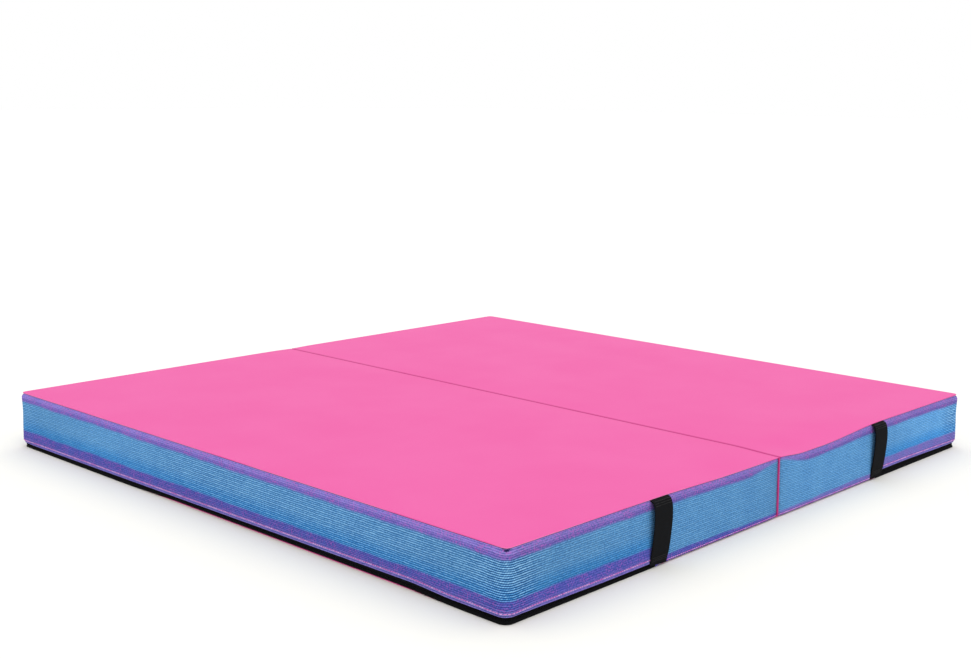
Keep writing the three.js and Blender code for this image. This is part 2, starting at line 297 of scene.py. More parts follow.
def make_camera():
    """A camera at the mat's front left corner, a little rolled."""
    azimuth, elevation, roll = (math.radians(value) for value in CAMERA_TURN)
    back = np.array([
        math.sin(azimuth) * math.cos(elevation),
        -math.cos(azimuth) * math.cos(elevation),
        math.sin(elevation),
    ])
    right = unit(np.cross(-back, (0, 0, 1)))
    up = np.cross(back, right)
    axes = np.eye(4)
    axes[:3, 0] = right * math.cos(roll) + up * math.sin(roll)
    axes[:3, 1] = up * math.cos(roll) - right * math.sin(roll)
    axes[:3, 2] = back
    axes[:3, 3] = CAMERA_PLACE
    camera = bpy.data.objects.new("camera", bpy.data.cameras.new("camera"))
    camera.data.lens = CAMERA_LENS
    camera.data.shift_x, camera.data.shift_y = CAMERA_SHIFT
    camera.matrix_world = Matrix(axes.tolist())
    add_object(camera)
    bpy.context.scene.camera = camera


def make_sun(name, direction, strength, softness):
    """A soft sun that shines from a direction, with no falloff across the floor."""
    lamp = bpy.data.lights.new(name, "SUN")
    lamp.energy = strength
    lamp.angle = math.radians(softness)
    sun = bpy.data.objects.new(name, lamp)
    sun.rotation_euler = Vector(direction).to_track_quat("Z", "Y").to_euler()
    add_object(sun)


def make_stage():
    """A wide pale floor, even white light from all round, and two soft suns."""
    corners = [(x * FLOOR_HALF, y * FLOOR_HALF, -FLOOR_DROP) for x, y in ((-1, -1), (1, -1), (1, 1), (-1, 1))]
    data = bpy.data.meshes.new("floor")
    data.from_pydata(corners, [], [(0, 1, 2, 3)])
    floor = bpy.data.objects.new("floor", data)
    add_object(floor)
    paint = Paint("floor_paint", roughness=0.9, specular=0)
    paint.colour(FLOOR_PAINT)
    data.materials.append(paint.material)
    world = bpy.data.worlds.new("studio")
    world.use_nodes = True
    background = world.node_tree.nodes["Background"]
    background.inputs["Color"].default_value = (1, 1, 1, 1)
    background.inputs["Strength"].default_value = 1.0
    bpy.context.scene.world = world
    bpy.context.scene.view_settings.view_transform = "Standard"
    for name, sun in SUNS.items():
        make_sun(name, *sun)


# ---- materials


class Paint:
    """A material in the making: its shader, and short ways to add nodes and join them."""

    def __init__(self, name, roughness, metallic=0.0, specular=0.3):
        self.material = bpy.data.materials.new(name)
        self.material.use_nodes = True
        self.tree = self.material.node_tree
        self.shader = self.tree.nodes["Principled BSDF"]
        self.shader.inputs["Roughness"].default_value = roughness
        self.shader.inputs["Metallic"].default_value = metallic
        self.shader.inputs["Specular IOR Level"].default_value = specular

    def join(self, value, socket):
        """Gives a socket a plain value, or links it to another node's output."""
        if isinstance(value, bpy.types.NodeSocket):
            self.tree.links.new(value, socket)
        else:
            socket.default_value = value

    def node(self, kind, **values):
        """A node with its settings and its sockets given by name."""
        node = self.tree.nodes.new("ShaderNode" + kind)
        for name, value in values.items():
            label = name.replace("_", " ")
            if label in node.inputs:
                self.join(value, node.inputs[label])
            else:
                setattr(node, name, value)
        return node

    def place(self):
        return self.node("TexCoord").outputs["Object"]

    def mark(self, name, output="Fac"):
        """A mesh attribute that mesh_object made."""
        return self.node("Attribute", attribute_name=name).outputs[output]

    def split(self, vector):
        parts = self.node("SeparateXYZ", Vector=vector).outputs
        return parts["X"], parts["Y"]

    def calc(self, operation, first, second=0.0):
        node = self.node("Math", operation=operation)
        self.join(first, node.inputs[0])
        self.join(second, node.inputs[1])
        return node.outputs[0]

    def mix(self, share, first, second, blend_type="MIX"):
        node = self.node("Mix", data_type="RGBA", blend_type=blend_type)
        for number, value in ((0, share), (6, first), (7, second)):
            self.join(value, node.inputs[number])
        return node.outputs[2]

    def times(self, first, second):
        return self.mix(1.0, first, second, "MULTIPLY")

    def ramp(self, value, start, end, low=0.0, high=1.0):
        """A value stretched from start..end to low..high, and held there beyond them."""
        node = self.node("MapRange", From_Min=start, From_Max=end, To_Min=low, To_Max=high, Value=value)
        return node.outputs["Result"]

    def noise(self, place, scale, detail=2.0):
        return self.node("TexNoise", Vector=place, Scale=scale, Detail=detail).outputs["Fac"]

    def bump(self, height, distance, strength):
        node = self.node("Bump", Height=height, Strength=strength, Distance=distance)
        self.join(node.outputs["Normal"], self.shader.inputs["Normal"])

    def colour(self, value):
        self.join(value, self.shader.inputs["Base Color"])

    def roughness(self, value):
        self.join(value, self.shader.inputs["Roughness"])


def vinyl_material(name, colour, other):
    """Coated PVC fabric: a fine grain over patches of gloss, with painted shade along the fold and a painted
    highlight on rolled edges.
    """
    paint = Paint(name, roughness=0.55, specular=0.2)
    place = paint.place()
    patches = paint.noise(place, scale=7)
    toned = paint.mix(paint.ramp(patches, *SOFT_PATCHES), colour, other)
    # Painted shade: within a few millimetres of the fold the vinyl darkens towards the deeper seam pink.
    from_fold = paint.calc("ABSOLUTE", paint.split(place)[0])
    fold_shading = paint.ramp(from_fold, 2.5 * MM, 5.5 * MM, low=0.75, high=0.0)
    fold_shaded = paint.mix(fold_shading, toned, FOLD_SHADE_PINK)
    # Painted highlight on the rolled edges, broken up by the patches.
    highlighted = paint.calc("MULTIPLY", paint.mark("wear"), paint.ramp(patches, 0.35, 0.55))
    paint.colour(paint.mix(highlighted, fold_shaded, HIGHLIGHT_PINK))
    paint.roughness(paint.ramp(patches, 0.3, 0.7, low=0.54, high=0.58))
    grain = paint.node("TexVoronoi", feature="DISTANCE_TO_EDGE", Vector=place, Scale=720.0)
    paint.bump(paint.ramp(grain.outputs["Distance"], 0.0, 0.25), distance=0.05 * MM, strength=0.5)
    return paint.material


def knit_thread(paint, run, height, sway):
    """How far the knit's thread stands out at a place: level rows of slanted loops, each a little uneven."""
    calc = paint.calc
    wander = calc("MULTIPLY", calc("SUBTRACT", sway, 0.5), ROW_WANDER)
    rows = calc("ADD", calc("DIVIDE", height, ROW_PITCH), wander)
    row, rise = calc("FLOOR", rows), calc("FRACT", rows)
    half_row = calc("MULTIPLY", row, 0.5)
    slant = calc("ADD", half_row, calc("MULTIPLY", rise, LOOP_SLANT))
    loops = calc("ADD", calc("DIVIDE", run, LOOP_PITCH), slant)
    crest = calc("SINE", calc("MULTIPLY", rise, math.pi))
    bow = calc("ABSOLUTE", calc("SINE", calc("MULTIPLY", loops, math.pi)))
    cell = paint.node("CombineXYZ", X=calc("FLOOR", loops), Y=row)
    chance = paint.node("TexWhiteNoise", Vector=cell.outputs["Vector"]).outputs["Value"]
    thread = calc("MULTIPLY", crest, paint.ramp(bow, 0.0, 0.9, low=0.7))
    thread = calc("MULTIPLY", thread, paint.ramp(chance, 0.0, 1.0, low=0.78, high=1.08))
    lowered = calc("MULTIPLY", calc("FRACT", half_row), 0.3)
    return calc("MULTIPLY", thread, calc("SUBTRACT", 1.0, lowered))


def knit_material():
    """Blue mesh knit in level rows of slanted loops, with the pink lining showing through along its hems."""
    paint = Paint("knit", roughness=0.85, specular=0.12)
    cloth = paint.node("UVMap", uv_map="cloth").outputs["UV"]
    lining = paint.mark("lining")
    thread = knit_thread(paint, *paint.split(cloth), sway=paint.noise(cloth, scale=90))
    drift = paint.ramp(paint.noise(cloth, scale=28, detail=3), *SOFT_PATCHES)
    dyed_and_shaded = paint.times(paint.mark("dye_and_shade", "Color"), paint.mix(drift, KNIT_COOL, KNIT_WARM))
    # Painted light on the knit: shade in its gaps, and a highlight on its raised loops that is paler away
    # from the bands.
    paling = paint.ramp(lining, 0.0, 0.3, low=0.4, high=0.12)
    lit = paint.mix(paling, paint.times(dyed_and_shaded, KNIT_LOOP_HIGHLIGHT), KNIT_HIGHLIGHT_PALE)
    knitted = paint.mix(paint.ramp(thread, 0.3, 0.6), paint.times(dyed_and_shaded, KNIT_GAP_SHADE), dyed_and_shaded)
    knitted = paint.mix(paint.ramp(thread, 0.6, 0.9), knitted, lit)
    grain = paint.noise(cloth, scale=380, detail=1)
    netting = paint.times(dyed_and_shaded, paint.ramp(grain, 0.34, 0.66, low=0.74, high=1.24))
    # Where the painted light is weaker, and in the bands, the knit shows as plain netting.
    contrast = paint.calc("MULTIPLY", paint.mark("knit_shading"), paint.calc("SUBTRACT", 1.0, lining))
    knitted = paint.mix(contrast, netting, knitted)
    clouds = paint.ramp(paint.noise(cloth, scale=45), 0.4, 0.6, low=0.25)
    flecks = paint.calc("MULTIPLY", paint.ramp(grain, 0.48, 0.6), clouds)
    paint.colour(paint.mix(paint.calc("MULTIPLY", flecks, lining), knitted, FLECK))
    paint.bump(thread, distance=0.35 * MM, strength=0.6)
    return paint.material


def woven_material(name, colour, light, pitch, roughness):
    """Plain dark weave, its threads pitch metres apart."""
    paint = Paint(name, roughness=roughness, specular=0.08)
    scale = WAVE_SCALE / pitch
    warp = paint.node(
        "TexWave", bands_direction="DIAGONAL", Vector=paint.place(), Scale=scale, Distortion=0.4,
    ).outputs["Fac"]
    paint.colour(paint.mix(warp, colour, light))
    paint.bump(warp, distance=0.12 * MM, strength=0.6)
    return paint.material


def metal_material():
    """Black painted zinc, faintly worn."""
    paint = Paint("slider_metal", roughness=0.38, metallic=0.6, specular=0.5)
    worn = paint.noise(paint.place(), scale=480, detail=4)
    paint.colour(paint.mix(paint.ramp(worn, 0.45, 0.8), METAL, METAL_WORN))
    paint.roughness(paint.ramp(worn, 0.3, 0.7, low=0.3, high=0.5))
    paint.bump(worn, distance=0.03 * MM, strength=0.5)
    return paint.material


def foam_material(name, colour, shade, cell):
    """Open-cell foam, its cells cell metres across."""
    paint = Paint(name, roughness=0.95, specular=0.1)
    cells = paint.node("TexVoronoi", Vector=paint.place(), Scale=1 / cell).outputs["Distance"]
    paint.colour(paint.mix(cells, shade, colour))
    paint.bump(cells, distance=0.4 * MM, strength=0.8)
    return paint.material


def thread_material(name, colour, light):
    """Twisted sewing thread, paler in patches along its run as a painted highlight of its gloss."""
    paint = Paint(name, roughness=0.6, specular=0.3)
    place = paint.place()
    # Painted highlight: patches of paler thread stand for its gloss.
    gloss_patches = paint.ramp(paint.noise(place, scale=130, detail=1), 0.4, 0.6)
    paint.colour(paint.mix(gloss_patches, colour, light))
    twist = paint.node("TexWave", bands_direction="DIAGONAL", Vector=place, Scale=700.0)
    paint.bump(twist.outputs["Fac"], distance=0.08 * MM, strength=0.5)
    return paint.material


# ---- mesh helpers


def smoothstep(value, low, high):
    share = np.clip((np.asarray(value, float) - low) / (high - low), 0, 1)
    return share * share * (3 - 2 * share)


def spaced(low, high, spacing):
    """Even places from low to high, about spacing apart."""
    return np.linspace(low, high, max(2, round((high - low) / spacing) + 1))


UP = np.array([0, 0, 1.0])


def unit(vectors):
    return vectors / np.linalg.norm(vectors, axis=-1, keepdims=True)


def run_lengths(line):
    """How far along a line of points each of them lies."""
    return np.concatenate([[0], np.cumsum(np.linalg.norm(np.diff(line, axis=0), axis=-1))])


def mesh_object(name, verts, faces, uvs=None, **marks):
    """A smooth closed mesh. uvs and the marks, its colour or number attributes, have a row a vertex."""
    mesh = bpy.data.meshes.new(name)
    mesh.from_pydata(np.asarray(verts, float).reshape(-1, 3).tolist(), [], faces)
    if uvs is not None:
        layer = mesh.uv_layers.new(name="cloth")
        corners = np.zeros(len(mesh.loops), int)
        mesh.loops.foreach_get("vertex_index", corners)
        layer.data.foreach_set("uv", np.asarray(uvs, float).reshape(-1, 2)[corners].ravel())
    for mark, values in marks.items():
        kind, field = ("FLOAT_COLOR", "color") if values.shape[-1] == 4 else ("FLOAT", "value")
        mesh.attributes.new(mark, kind, "POINT").data.foreach_set(field, values.ravel())
    shell = bmesh.new()
    shell.from_mesh(mesh)
    bmesh.ops.recalc_face_normals(shell, faces=shell.faces)
    shell.to_mesh(mesh)
    shell.free()
    mesh.polygons.foreach_set("use_smooth", [True] * len(mesh.polygons))
    piece = bpy.data.objects.new(name, mesh)
    add_object(piece)
    return piece


def grid_normals(grid):
    """Unit normals of a grid of points, all on the side away from the middle of half a."""
    normals = np.cross(np.gradient(grid, axis=0), np.gradient(grid, axis=1))
    shortest = 1e-12
    normals /= np.maximum(np.linalg.norm(normals, axis=-1, keepdims=True), shortest)
    middle = np.array([-HALF_LENGTH / 2, 0, TOP / 2])
    return normals * np.sign(np.sum(normals * (grid - middle)))


def sheet_object(name, outer, thickness, uvs, keep=None, **marks):
    """A closed sheet from the grid of its outer face. keep says which cells it covers."""
    rows, columns = outer.shape[:2]
    count = rows * columns
    keep = np.ones((rows - 1, columns - 1), bool) if keep is None else keep
    inner = outer - (grid_normals(outer) * thickness if np.ndim(thickness) == 0 else thickness)
    number = np.arange(count).reshape(rows, columns)
    quads = np.stack([number[:-1, :-1], number[1:, :-1], number[1:, 1:], number[:-1, 1:]], -1)
    cells = quads[keep]
    faces = [cells, cells[:, ::-1] + count]
    padded = np.pad(keep, 1)
    neighbours = (padded[1:-1, :-2], padded[2:, 1:-1], padded[1:-1, 2:], padded[:-2, 1:-1])
    for side, neighbour in enumerate(neighbours):
        edge = quads[keep & ~neighbour]
        first, second = edge[:, side], edge[:, (side + 1) % 4]
        faces.append(np.stack([second, first, first + count, second + count], -1))
    faces = np.concatenate(faces)
    used = np.unique(faces)
    compact = np.zeros(2 * count, int)
    compact[used] = np.arange(len(used))
    pair = lambda values, width: np.tile(np.asarray(values, float).reshape(count, width), (2, 1))[used]
    verts = np.concatenate([outer.reshape(-1, 3), inner.reshape(-1, 3)])[used]
    paired = {mark: pair(values, values.size // count) for mark, values in marks.items()}
    return mesh_object(name, verts, compact[faces].tolist(), pair(uvs, 2), **paired)


def tubes_object(name, centres, side, rise, radii, sides=6):
    """Closed round bodies: centres is (bodies, rings, 3), side and rise span each ring's plane."""
    bodies, rings = centres.shape[:2]
    turn = np.linspace(0, 2 * math.pi, sides, endpoint=False)
    radii = np.broadcast_to(radii, (bodies, rings))[:, :, None, None]
    spokes = side[:, :, None] * np.cos(turn)[:, None] + rise[:, :, None] * np.sin(turn)[:, None]
    verts = centres[:, :, None] + spokes * radii
    ring = np.arange(sides)
    after = (ring + 1) % sides
    faces = []
    for body in range(bodies):
        start = body * rings * sides
        for step in range(rings - 1):
            low, high = start + step * sides, start + (step + 1) * sides
            faces += np.stack([low + ring, low + after, high + after, high + ring], -1).tolist()
        faces.append((start + ring)[::-1].tolist())
        faces.append((start + (rings - 1) * sides + ring).tolist())
    uvs = np.zeros(verts.shape[:-1] + (2,))
    uvs[..., 0] = run_lengths(centres[0])[None, :, None]
    return mesh_object(name, verts, faces, uvs)


def finish_piece(piece, tag, paint, slot, *nodes, pad=None):
    """Mirrors a piece of half a for half b, gives it its material and body, and hides its CAD nodes."""
    if tag == "b":
        piece.data.transform(Matrix.Diagonal((-1, 1, 1, 1)))
        piece.data.flip_normals()
    piece.data.materials.append(paint)
    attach(piece, BODY[tag])
    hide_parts(*nodes)


# ---- the side wall's path

LONG_RUN = HALF_WIDTH - CORNER_ZONE
ZONE_RUN = CORNER_ZONE * math.pi / 2
SHORT_RUN = LONG_RUN + ZONE_RUN
CORNER_STEPS = 26


def corner_radius(z):
    return BASE_CORNER + (TOP_CORNER - BASE_CORNER) * smoothstep(z, CORNER_TAPER, TOP)


def run_at(x):
    """How far along the wall, from the middle of the long side, its short side reaches x from the fold."""
    return SHORT_RUN + HALF_LENGTH - CORNER_ZONE - x


def from_corner(run):
    """How far along the wall a place is from the middle of the nearest corner."""
    return np.abs(np.abs(run) - LONG_RUN - ZONE_RUN / 2)


def wall_points(run, out, z):
    """Points of half a's side wall: run along it from the middle of the long side, out from its face."""
    run, out, z = np.broadcast_arrays(run, out, z)
    distance = np.abs(run)
    radius = np.maximum(corner_radius(z) + out, MM)
    straight = CORNER_ZONE + out - radius
    arc = math.pi / 2 * radius
    turned = np.clip((distance - LONG_RUN) / ZONE_RUN, 0, 1) * (2 * straight + arc)
    angle = np.clip((turned - straight) / radius, 0, math.pi / 2)
    tail = np.maximum(turned - straight - arc, 0)
    short = np.maximum(distance - SHORT_RUN, 0)
    x = -(HALF_LENGTH + out) + radius * (1 - np.cos(angle)) + tail + short
    y = np.minimum(distance, LONG_RUN) + np.minimum(turned, straight) + radius * np.sin(angle)
    return np.stack([x, np.copysign(y, run), z], -1)


def wall_line(run, out, z):
    """Points of the side wall, as wall_points gives them, and the direction along it at each."""
    points = wall_points(run, out, z)
    return points, unit(wall_points(run + 0.1 * MM, out, z) - points)


def wall_stations(end_x):
    """Places along the wall, from end_x at one short side round to end_x at the other."""
    short = spaced(SHORT_RUN, run_at(end_x), CELL)
    corner = np.linspace(LONG_RUN, SHORT_RUN, CORNER_STEPS + 1)
    half = np.concatenate([corner[:-1], short])
    return np.concatenate([-half[::-1], spaced(-LONG_RUN, LONG_RUN, CELL)[1:-1], half])


# ---- simulated padding

CLOTH = {
    "quality": 5,
    "mass": 0.4,
    "tension_stiffness": 40,
    "compression_stiffness": 40,
    "bending_stiffness": 4,
    "use_pressure": True,
    "uniform_pressure_force": 4,
    "vertex_group_mass": "seams",
}


def padding_axes():
    """Places along half a's length, width and height, at the corners of the cover's cells."""
    spans = ((-HALF_LENGTH, -FOLD_EDGE), (-HALF_WIDTH, HALF_WIDTH), (0, TOP))
    return [np.linspace(low, high, count + 1) for (low, high), count in zip(spans, COVER_CELLS)]


def padding_box():
    """A closed lattice box the size of half a: the object, its vertex numbers and its axes."""
    axes = padding_axes()
    number = -np.ones([count + 1 for count in COVER_CELLS], int)
    ends = [(axis, end) for axis in range(3) for end in (0, -1)]
    surface = np.zeros(number.shape, bool)
    for axis, end in ends:
        np.moveaxis(surface, axis, 0)[end] = True
    number[surface] = np.arange(surface.sum())
    places = np.argwhere(surface)
    verts = np.stack([axes[axis][places[:, axis]] for axis in range(3)], -1)
    faces = []
    for axis, end in ends:
        sheet = number.take(end, axis)
        quads = np.stack([sheet[:-1, :-1], sheet[1:, :-1], sheet[1:, 1:], sheet[:-1, 1:]], -1)
        faces += quads.reshape(-1, 4).tolist()
    return mesh_object("padding", verts, faces), number, axes


def inflated_cover():
    """Cloth simulation of half a's cover, blown up between its seams: its axes, and how far its top, long
    side and front move out.
    """
    box, number, axes = padding_box()
    rest = np.array([vertex.co for vertex in box.data.vertices])
    base = np.isclose(rest[:, 2], 0)
    level = base | np.isclose(rest[:, 2], TOP)
    upright = (
        np.isclose(rest[:, 0], -HALF_LENGTH)
        | np.isclose(rest[:, 0], -FOLD_EDGE)
        | np.isclose(np.abs(rest[:, 1]), HALF_WIDTH)
    )
    pins = box.vertex_groups.new(name="seams")
    pins.add(np.flatnonzero((level & upright) | base).tolist(), 1, "REPLACE")
    cloth = box.modifiers.new("inflate", "CLOTH")
    for setting, value in CLOTH.items():
        setattr(cloth.settings, setting, value)
    cloth.settings.effector_weights.gravity = 0
    cloth.point_cache.frame_end = LAST_FRAME
    for step in range(1, LAST_FRAME + 1):
        bpy.context.scene.frame_set(step)
    shaped = box.evaluated_get(bpy.context.evaluated_depsgraph_get()).to_mesh()
    moved = np.array([vertex.co for vertex in shaped.vertices]) - rest
    bpy.context.scene.frame_set(1)
    bpy.data.objects.remove(box)
    return axes, moved[number[:, :, -1], 2], -moved[number[0], 0], -moved[number[:, 0], 1]


def sampled(grid, first_axis, second_axis, first, second):
    """Bilinear values of a grid at matching arrays of places along its two axes."""
    row = np.interp(first, first_axis, np.arange(len(first_axis)))
    column = np.interp(second, second_axis, np.arange(len(second_axis)))
    i = np.minimum(row.astype(int), len(first_axis) - 2)
    j = np.minimum(column.astype(int), len(second_axis) - 2)
    u, v = row - i, column - j
    return (
        grid[i, j] * (1 - u) * (1 - v) + grid[i + 1, j] * u * (1 - v)
        + grid[i, j + 1] * (1 - u) * v + grid[i + 1, j + 1] * u * v
    )


def soft_cap(values, cap):
    """Values of any size eased to stay under cap, as firm foam holds its cover."""
    return cap * np.tanh(values / cap)


# ---- top and base covers

# Places across a rolled edge, in its radii: from under it, over its widest point, to the panel.
EDGE_PLACES = np.array([-0.4, -0.2, 0, 0.08, 0.22, 0.42, 0.68, 1.0, 1.6, 2.4])


def rolled_edge(place, radius, tuck):
    """Inset and drop of a rolled edge: place counts in from the widest point, and under it when negative."""
    inside = np.clip(place, 0, radius)
    inset = np.where(place < 0, tuck * (place / radius) ** 2, np.maximum(place, 0))
    drop = radius - np.sqrt(np.maximum(radius ** 2 - (radius - inside) ** 2, 0))
    return inset, drop + np.maximum(-place, 0)


def panel_grid(inset, corner, radius, fold_radius, tuck, fold_edge=FOLD_EDGE):
    """Grid of a panel that fills half a's plan: where its points lie, and how far each drops from its top."""
    rim, fold_rim = radius * EDGE_PLACES, fold_radius * EDGE_PLACES
    fold_rim = fold_rim[fold_rim < 0.8 * CELL][::-1]
    depth = HALF_LENGTH - inset - fold_edge
    from_end = np.concatenate([rim, spaced(corner, depth - CELL, CELL), depth - fold_rim])
    width = 2 * (HALF_WIDTH - inset)
    from_front = np.concatenate([rim, spaced(corner, width - corner, CELL), width - rim[::-1]])
    end, front = np.meshgrid(from_end, from_front, indexing="ij")
    rear = width - front
    side = np.minimum(front, rear)
    a = np.maximum(corner - end, 0) / corner
    b = np.maximum(corner - side, 0) / corner
    reach = np.maximum(a, b)
    edge_inset, drop = rolled_edge(corner * (1 - reach), radius, tuck)
    scale = np.divide(1 - edge_inset / corner, np.hypot(a, b), out=np.ones_like(a), where=reach > 0)
    fold_inset, fold_drop = rolled_edge(depth - end, fold_radius, tuck)
    x = np.where(a > 0, corner * (1 - a * scale), end) - HALF_LENGTH + inset
    near_fold = depth - end < corner
    x = np.where(near_fold, -fold_edge - fold_inset, x)
    y = np.where(b > 0, corner * (1 - b * scale), side)
    y = (HALF_WIDTH - inset - y) * np.where(front < rear, -1, 1)
    return x, y, np.maximum(drop, np.where(near_fold, fold_drop, 0))


def fold_sag(tag, x, y):
    """How far the top cover sags at a place, along the fold and most of all at its edge in front."""
    from_fold = smoothstep(-x, 0, FOLD_SAG_REACH)
    at_edge = smoothstep(-y, HALF_WIDTH - DROOP_ZONE, HALF_WIDTH)
    droop = (DROOP + EXTRA_DROOP[tag] * from_fold) * (1 - smoothstep(-x, *DROOP_FADES))
    return FOLD_SAG * (1 - from_fold) ** 2 * (1 - at_edge) + droop * at_edge


def make_top_panel(tag, cover, paint):
    """Top cover of one half, crowned by the foam and rolled over at its edges into the seams."""
    axes, crown, _, _ = cover
    x, y, drop = panel_grid(0, TOP_CORNER, EDGE_ROUND, FOLD_ROUND, EDGE_TUCK)
    lift = soft_cap(sampled(crown, axes[0], axes[1], x, y), CROWN) * smoothstep(-x, 0, CROWN_EDGE)
    outer = np.stack([x, y, TOP + lift - drop - fold_sag(tag, x, y)], -1)
    # Painted highlight along the rolled edge, fading out towards the fold.
    wear = EDGE_HIGHLIGHT * smoothstep(drop, *HIGHLIGHT_BAND) * smoothstep(-x, *HIGHLIGHT_FROM_FOLD)
    piece = sheet_object(f"top_panel_{tag}", outer, VINYL, outer[..., :2], wear=wear)
    finish_piece(piece, tag, paint, "pink_vinyl", f"top_cover_{tag}", pad=1.0)


def make_base_panel(tag, paint):
    """Base cover of one half: flat on the floor, with its edge turned up behind the zipper tape."""
    inset = BASE_INSET + TAPE
    outer = np.stack(panel_grid(inset, BASE_CORNER - inset, BASE_ROUND, BASE_FOLD_ROUND, BASE_TUCK), -1)
    piece = sheet_object(f"base_panel_{tag}", outer, BASE_VINYL, outer[..., :2])
    finish_piece(piece, tag, paint, "pink_vinyl", f"bottom_cover_{tag}")


def make_fold_wall(tag, paint):
    """Inner wall of one half along the fold, slightly quilted between its piped edges."""
    across = spaced(-HALF_WIDTH + WALL_MARGIN, HALF_WIDTH - WALL_MARGIN, CELL)
    heights = spaced(WALL_FOOT, TOP - DROOP - WALL_GAP, WALL_CELL)
    y, z = np.meshgrid(across, heights, indexing="ij")
    pull = WALL_QUILT * (np.cos(y * math.pi / QUILT_PITCH) ** 2 + 0.6 * np.sin(z * math.pi / TOP))
    outer = np.stack([-FOLD_EDGE - WALL_INSET + pull, y, z], -1)
    piece = sheet_object(f"fold_panel_{tag}", outer, VINYL, outer[..., 1:])
    finish_piece(piece, tag, paint, "pink_vinyl", f"fold_wall_{tag}")


def make_piping(tag, paint):
    """Piping round the fold wall's seam: down its front edge, along its base and up its rear edge."""
    margin, gap, clearance = 0.5 * MM, 1.4 * MM, 0.15 * MM
    bend, y_end, z_low = PIPING_BEND, HALF_WIDTH - margin, PIPING
    down = [(-y_end, z) for z in spaced(z_low + bend, TOP - DROOP - gap, 4 * MM)[::-1]]
    turn = np.linspace(0, math.pi / 2, 7)[1:-1]
    corner = [(-y_end + bend * (1 - math.cos(t)), z_low + bend * (1 - math.sin(t))) for t in turn]
    along = [(y, z_low) for y in spaced(-y_end + bend, 0, 12 * MM)]
    half = down + corner + along
    path = np.array([(-PIPING - clearance, y, z) for y, z in half + [(-y, z) for y, z in half[::-1][1:]]])
    side = np.broadcast_to([1.0, 0, 0], path.shape)
    rise = np.cross(unit(np.gradient(path, axis=0)), side)
    piece = tubes_object(f"fold_piping_{tag}", path[None], side[None], rise[None], PIPING, sides=10)
    finish_piece(piece, tag, paint, "pink_vinyl")


# ---- mesh side wall


def wall_bulge(cover, run, z):
    """How far the foam pushes the mesh out, from the simulated cover, and a little more at the corners."""
    axes, _, long_side, front = cover
    distance = np.abs(run)
    x = wall_points(run, 0, z)[..., 0]
    on_long = sampled(long_side, axes[1], axes[2], run, z)
    on_short = sampled(front, axes[0], axes[2], x, z)
    turning = smoothstep(distance, LONG_RUN, SHORT_RUN)
    corner = 1 - smoothstep(from_corner(run), 0, PUSH_REACH)
    end = smoothstep(run_at(0) - distance, 0, BULGE_END)
    belly = soft_cap(on_long * (1 - turning) + on_short * turning, WALL_BULGE)
    high, low = CORNER_PUSH
    push = high + (low - high) * (1 - smoothstep(z, *PUSH_BLEND))
    push *= smoothstep(z, *PUSH_STARTS) * (1 - smoothstep(z, *PUSH_ENDS))
    return (belly * (1 - corner) + push * corner) * end


def strap_side(run):
    """True between the handles, across the fold, and false beyond them, where the zipper runs."""
    return np.abs(run) > run_at(STRAP_X)


def wall_out(cover, run, z):
    """Profile of the mesh's face: its bulge, drawn in at the top seam, the hem stitches and the edges."""
    run, z = np.broadcast_arrays(run, z)
    across_fold = strap_side(run)
    stitch_z = np.where(across_fold, BASE_STITCH_Z, HEM_STITCH_Z)
    foot = np.where(across_fold, MESH_FOOT, ZIP_TOP)
    at_top = smoothstep(z, TOP - 6 * MM, TOP - 2 * MM)
    drawn = SEAM_DRAW * smoothstep(z, TOP - 5 * MM, TOP - 1.6 * MM)
    drawn = drawn + STITCH_DRAW * np.exp(-((z - stitch_z) / (1.6 * MM)) ** 2)
    drawn += EDGE_DRAW * (1 - smoothstep(z - foot, 0, 3 * MM))
    drawn += FOLD_DRAW * np.exp(-(run_at(GUSSET_END) - np.abs(run)) / (5 * MM))
    drawn += CORNER_DRAW * (1 - smoothstep(from_corner(run), 0, 12 * MM)) * at_top
    return wall_bulge(cover, run, z) - drawn


def hem_rise(tag, run):
    """How far the mesh's lower edge rises along the wall, except between the handles."""
    slope = HEM_RISE - (HEM_RISE + HEM_FALL) * np.clip(run - HEM_CREST, 0, 1)
    wave = slope * smoothstep(run, *HEM_START)
    on_long = wave * (1 - smoothstep(np.abs(run), LONG_RUN, SHORT_RUN))
    on_front = SHORT_HEM[tag] * smoothstep(-run, SHORT_RUN, LONG_RUN + 5 * ZONE_RUN)
    return np.where(strap_side(run), 0, on_long + on_front)


def seam_sag(tag, run, z):
    """How far the top seam's sag lowers a place on the side wall."""
    point = wall_points(run, 0, np.full_like(run, TOP))
    return fold_sag(tag, point[..., 0], point[..., 1]) * smoothstep(z, SAG_FOOT, TOP)


def cloth_height(tag, run, z):
    """Height of a place on the mesh wall, from its height on the flat cloth."""
    return z + hem_rise(tag, run) * (1 - smoothstep(z, *HEM_BLEND)) - seam_sag(tag, run, z)


